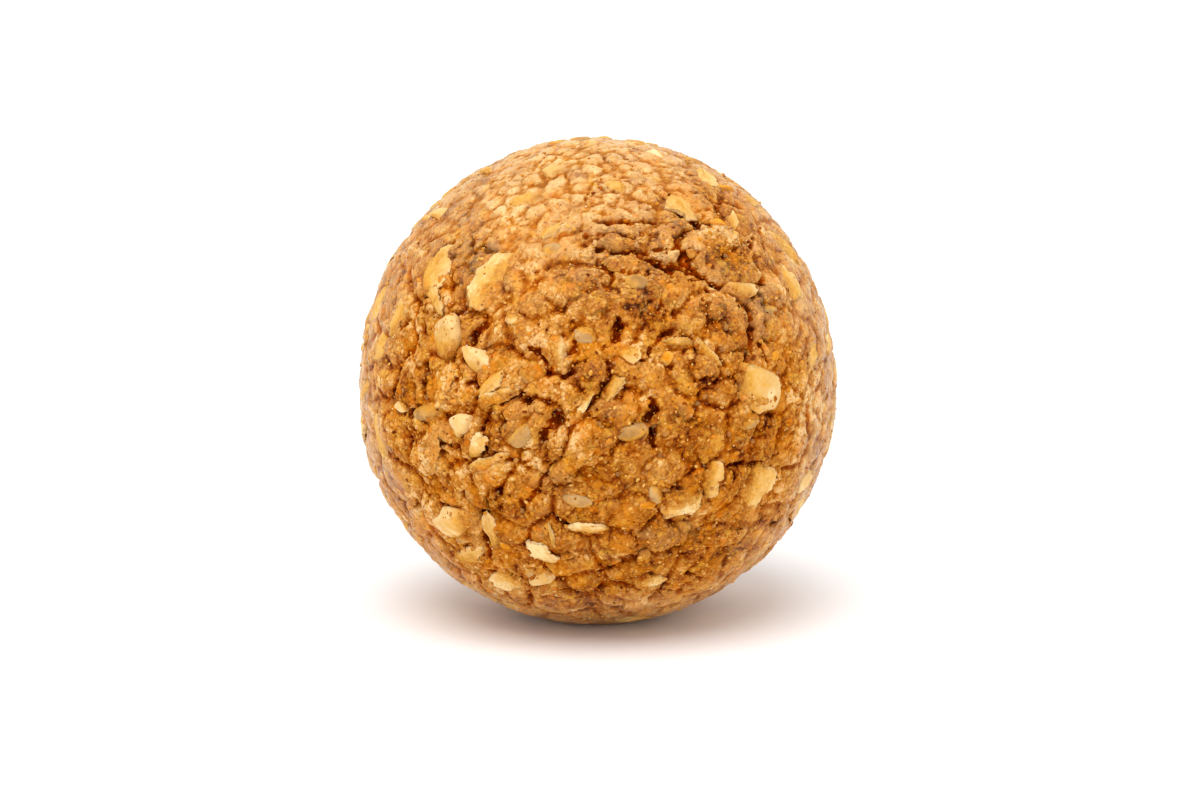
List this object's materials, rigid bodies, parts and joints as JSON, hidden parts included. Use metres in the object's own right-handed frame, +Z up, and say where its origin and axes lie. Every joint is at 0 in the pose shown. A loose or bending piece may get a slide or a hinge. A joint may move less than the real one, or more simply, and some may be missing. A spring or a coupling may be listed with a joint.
{
  "type": "energy ball",
  "caption": "Hand-rolled ball of nut dough with oat flakes, chopped nuts and crisp grains pressed in, resting on a small flat; a bite-size snack.",
  "frame": {"origin": "the centre of the small flat that the ball rests on", "axes": "+Z is up, out of the ball's crown; -Y is the side that the picture shows"},
  "size_m": [0.0399, 0.0408, 0.0404],
  "materials": {
    "nut_dough": "golden brown, oily and grainy dough of ground nuts, with a soft sheen",
    "oat_flake": "cream oat flake, dry at its ragged edge and coated with dough elsewhere",
    "chopped_nut": "pale tan chopped nut with smooth broken faces",
    "crisp_grain": "greyish translucent rounded grain, satin",
    "bran_speck": "dark red-brown fleck of bran or nut skin"
  },
  "bodies": {
    "root": {"energy_ball": "nut_dough"}
  },
  "joints": []
}
